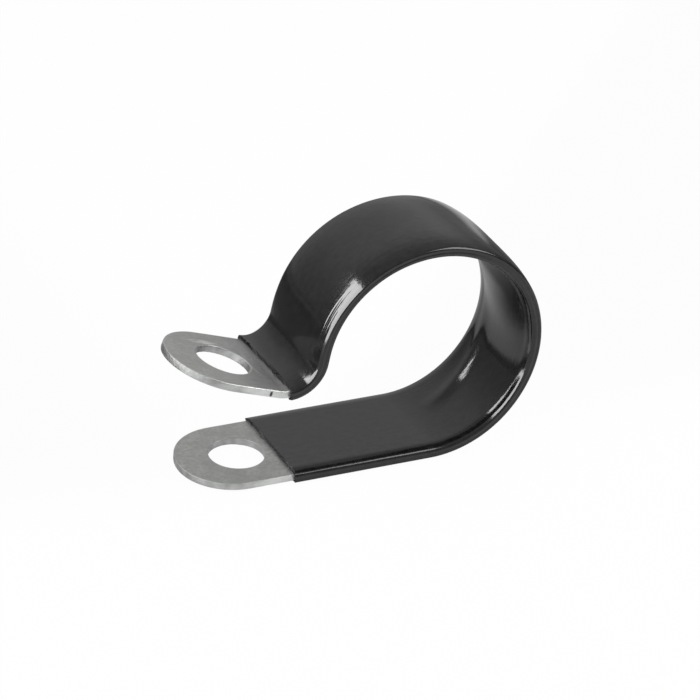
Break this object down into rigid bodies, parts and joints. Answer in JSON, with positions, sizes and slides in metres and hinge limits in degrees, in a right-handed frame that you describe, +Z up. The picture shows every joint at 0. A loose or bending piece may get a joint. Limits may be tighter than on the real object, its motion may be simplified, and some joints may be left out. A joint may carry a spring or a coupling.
{
  "type": "p clip",
  "caption": "Cable clip of bent steel strip: a round loop in a black vinyl sleeve, open at the mouth, with a round-ended ear and screw hole at each end.",
  "frame": {"origin": "centre of the lower ear's screw hole, at half the strip's thickness", "axes": "+Z up, square to the flat lower leg; +X along the lower leg from its ear to the loop; +Y across the strip"},
  "size_m": [0.045, 0.0138, 0.0287],
  "materials": {
    "zinc_steel": "zinc plated, satin",
    "black_vinyl": "soft black vinyl, semi-gloss"
  },
  "bodies": {
    "root": {"steel_band": "zinc_steel", "vinyl_sleeve": "black_vinyl"}
  },
  "joints": []
}
